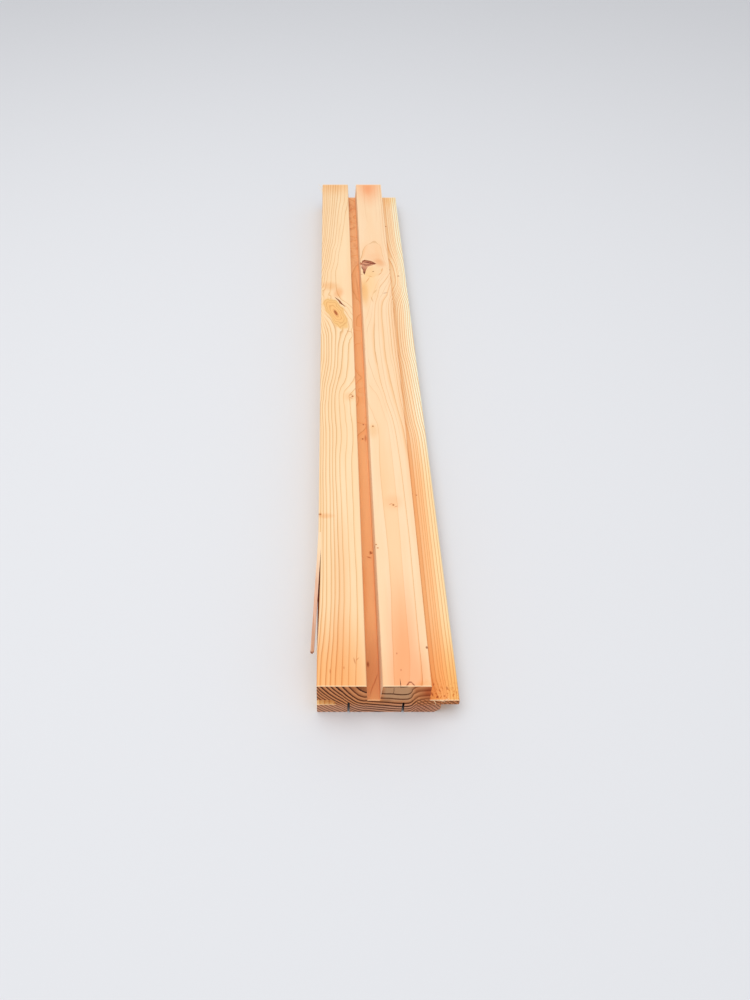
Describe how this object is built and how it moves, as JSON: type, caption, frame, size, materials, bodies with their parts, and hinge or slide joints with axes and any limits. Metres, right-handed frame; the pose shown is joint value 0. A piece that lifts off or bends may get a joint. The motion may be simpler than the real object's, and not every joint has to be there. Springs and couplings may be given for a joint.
{
  "type": "cladding board",
  "caption": "Solid softwood cladding board with a shadow groove between flat battens, a tongue on one side, a slot on the other and relief kerfs in the back.",
  "frame": {"origin": "middle of the milled width and of the length, on the back face", "axes": "+X across the board towards the tongue, +Y along the board, +Z out of the back face towards the show face"},
  "size_m": [0.1464, 1.092, 0.047],
  "materials": {
    "bare_softwood": "planed and unfinished"
  },
  "bodies": {
    "root": {"cladding_board": "bare_softwood"}
  },
  "joints": []
}
